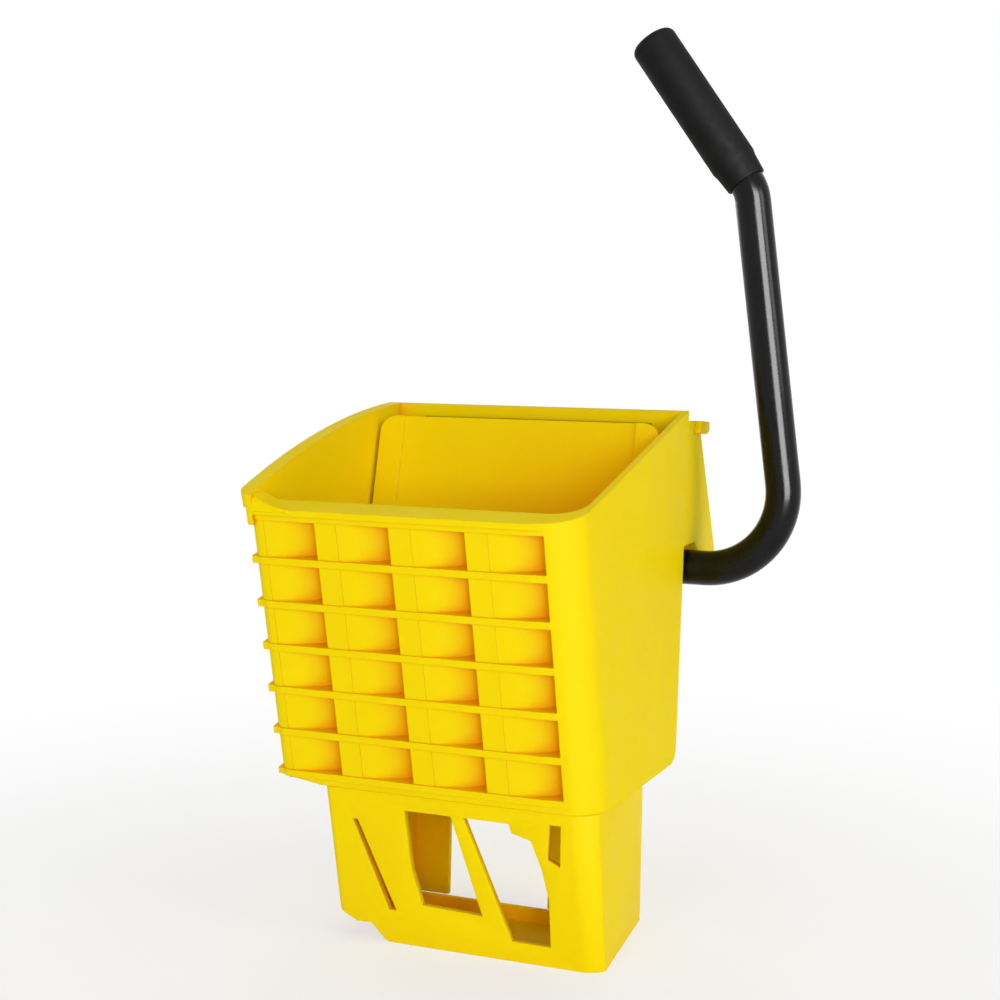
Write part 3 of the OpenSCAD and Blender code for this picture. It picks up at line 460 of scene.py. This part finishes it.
def coil_spring(node, name, turns, wire):
    """A round wire spring wound between the ends of the CAD coil.

    The real spring stretches as the plate leaves the rear wall, but this coil is built at one length; wire
    is the wire's radius."""
    low, high = (Vector(corner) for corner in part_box(node))
    middle = (low + high) / 2
    radius = (high.x - low.x) / 2 - wire
    length = high.y - low.y - 2 * wire
    bpy.ops.mesh.primitive_circle_add(
        vertices=WIRE_SIDES, radius=wire, location=(middle.x + radius, low.y + wire, middle.z))
    spring = bpy.context.active_object
    spring.name = name
    bpy.ops.object.transform_apply(location=True, rotation=True, scale=True)
    bpy.context.scene.cursor.location = (middle.x, low.y + wire, middle.z)
    bpy.ops.object.origin_set(type="ORIGIN_CURSOR")
    winding = spring.modifiers.new("winding", "SCREW")
    winding.axis = "Y"
    winding.angle = math.tau
    winding.screw_offset = length / turns
    winding.iterations = turns
    winding.steps = WIRE_STEPS
    winding.render_steps = WIRE_STEPS
    winding.use_merge_vertices = True
    bpy.ops.object.modifier_apply(modifier=winding.name)
    bpy.ops.object.transform_apply(location=True, rotation=True, scale=True)
    bpy.ops.object.mode_set(mode="EDIT")
    bpy.ops.mesh.select_all(action="DESELECT")
    bpy.ops.mesh.select_non_manifold()
    bpy.ops.mesh.fill()
    bpy.ops.mesh.select_all(action="SELECT")
    bpy.ops.mesh.normals_make_consistent(inside=False)
    bpy.ops.object.mode_set(mode="OBJECT")
    bpy.ops.object.shade_smooth_by_angle(angle=WIRE_SMOOTH_ANGLE)
    dress(spring, node)
    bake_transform(spring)


for side in ("left", "right"):
    coil_spring("return_spring_" + side, "return_coil_" + side, SPRING_TURNS, SPRING_WIRE)

# Every CAD node takes the finish of its slot; those that no piece stands for stay in view
for node, solid in NODES.items():
    solid.data.materials.clear()
    solid.data.materials.append(FINISHES[SLOT_OF[node]])


# Studio

FLOOR_SIZE = 16.0
WHITE = (1.0, 1.0, 1.0, 1.0)

# The floor runs out to white between these distances from its middle, where this share is white already
FADE_START = 0.12
FADE_END = 0.95
FADE_LEAST = 0.60

# The part of the basket that the lamps face
MIDDLE = (0.0, 0.0, 0.28)


def plain_white_rays(nodes, links):
    """1 for the rays that meet the background as plain white.

    They come from the camera, off a gloss or through a clear wall."""
    seen = nodes.new("ShaderNodeLightPath")
    either = nodes.new("ShaderNodeMath")
    either.operation = "MAXIMUM"
    links.new(seen.outputs["Is Camera Ray"], either.inputs[0])
    links.new(seen.outputs["Is Glossy Ray"], either.inputs[1])
    every = nodes.new("ShaderNodeMath")
    every.operation = "MAXIMUM"
    links.new(either.outputs["Value"], every.inputs[0])
    links.new(seen.outputs["Is Transmission Ray"], every.inputs[1])
    return every.outputs["Value"]


def studio_floor():
    """A pale floor that keeps the object's soft shadow and runs out to plain white."""
    bpy.ops.mesh.primitive_plane_add(size=FLOOR_SIZE, location=(0.0, 0.0, 0.0))
    floor = bpy.context.active_object
    floor.name = "studio_floor"
    material = bpy.data.materials.new("studio_white")
    material.use_nodes = True
    nodes = material.node_tree.nodes
    links = material.node_tree.links
    shader = nodes["Principled BSDF"]
    shader.inputs["Base Color"].default_value = (0.90, 0.90, 0.90, 1.0)
    shader.inputs["Roughness"].default_value = 0.8
    shader.inputs["Specular IOR Level"].default_value = 0.1
    white = nodes.new("ShaderNodeEmission")
    white.inputs["Strength"].default_value = 1.0
    reach = nodes.new("ShaderNodeVectorMath")
    reach.operation = "LENGTH"
    links.new(nodes.new("ShaderNodeTexCoord").outputs["Object"], reach.inputs[0])
    fade = nodes.new("ShaderNodeMapRange")
    fade.interpolation_type = "SMOOTHSTEP"
    fade.inputs["From Min"].default_value = FADE_START
    fade.inputs["From Max"].default_value = FADE_END
    fade.inputs["To Min"].default_value = FADE_LEAST
    links.new(reach.outputs["Value"], fade.inputs["Value"])
    share = nodes.new("ShaderNodeMath")
    share.operation = "MULTIPLY"
    links.new(plain_white_rays(nodes, links), share.inputs[0])
    links.new(fade.outputs["Result"], share.inputs[1])
    mix = nodes.new("ShaderNodeMixShader")
    links.new(share.outputs["Value"], mix.inputs["Fac"])
    links.new(shader.outputs["BSDF"], mix.inputs[1])
    links.new(white.outputs["Emission"], mix.inputs[2])
    links.new(mix.outputs["Shader"], nodes["Material Output"].inputs["Surface"])
    floor.data.materials.append(material)


def studio_world(strength):
    """Even white surroundings: full white to the camera and in reflections, softer as a light."""
    world = bpy.data.worlds.new("studio_world")
    bpy.context.scene.world = world
    world.use_nodes = True
    nodes = world.node_tree.nodes
    links = world.node_tree.links
    background = nodes["Background"]
    background.inputs["Color"].default_value = WHITE
    background.inputs["Strength"].default_value = strength
    white = nodes.new("ShaderNodeBackground")
    white.inputs["Color"].default_value = WHITE
    mix = nodes.new("ShaderNodeMixShader")
    links.new(plain_white_rays(nodes, links), mix.inputs["Fac"])
    links.new(background.outputs["Background"], mix.inputs[1])
    links.new(white.outputs["Background"], mix.inputs[2])
    links.new(mix.outputs["Shader"], nodes["World Output"].inputs["Surface"])


def softbox(name, place, side, power, height=None, aim=MIDDLE, in_gloss=True, in_colour=True):
    """A lamp at place that faces aim, square unless height is given.

    Without in_gloss it isn't seen in reflections, and without in_colour it is seen only there."""
    bpy.ops.object.light_add(type="AREA", location=place)
    lamp = bpy.context.active_object
    lamp.name = name
    lamp.data.shape = "RECTANGLE"
    lamp.data.size = side
    lamp.data.size_y = side if height is None else height
    lamp.data.energy = power
    lamp.rotation_euler = (Vector(aim) - Vector(place)).to_track_quat("-Z", "Y").to_euler()
    lamp.visible_glossy = in_gloss
    lamp.visible_diffuse = in_colour


studio_floor()
studio_world(strength=0.32)
softbox("key_front", place=(-0.20, -2.45, 0.75), side=0.9, power=12.0, in_gloss=False)
softbox("key_corner", place=(1.25, -2.15, 0.62), side=0.8, power=14.0, in_gloss=False)
softbox("key_right", place=(2.34, -0.41, 1.05), side=0.8, power=14.0)
softbox("top_soft", place=(-0.1, -0.2, 2.3), side=1.4, power=5.0)
softbox("back_left", place=(-1.9, 1.4, 1.1), side=1.4, power=9.0)
softbox("back_low", place=(0.0, 2.0, 0.5), side=0.9, power=20.0, in_gloss=False)
softbox("tube_sheen", place=(1.52, -1.42, 0.55), side=1.20, height=1.4, power=155.0,
        aim=(0.19, 0.1, 0.45), in_colour=False)

# Camera fitted to the photograph: no shift, level horizon
CAMERA_PLACE = (0.5609, -1.2603, 0.4885)
CAMERA_AZIMUTH = math.radians(23.69)
CAMERA_PITCH = math.radians(6.74)
CAMERA_LENS = 66.6
CAMERA_SENSOR = 36.0
bpy.ops.object.camera_add(location=CAMERA_PLACE, rotation=(math.pi / 2 - CAMERA_PITCH, 0.0, CAMERA_AZIMUTH))
camera = bpy.context.active_object
camera.name = "photo_camera"
camera.data.lens = CAMERA_LENS
camera.data.sensor_width = CAMERA_SENSOR
bpy.context.scene.camera = camera
bpy.context.scene.view_settings.view_transform = "Standard"
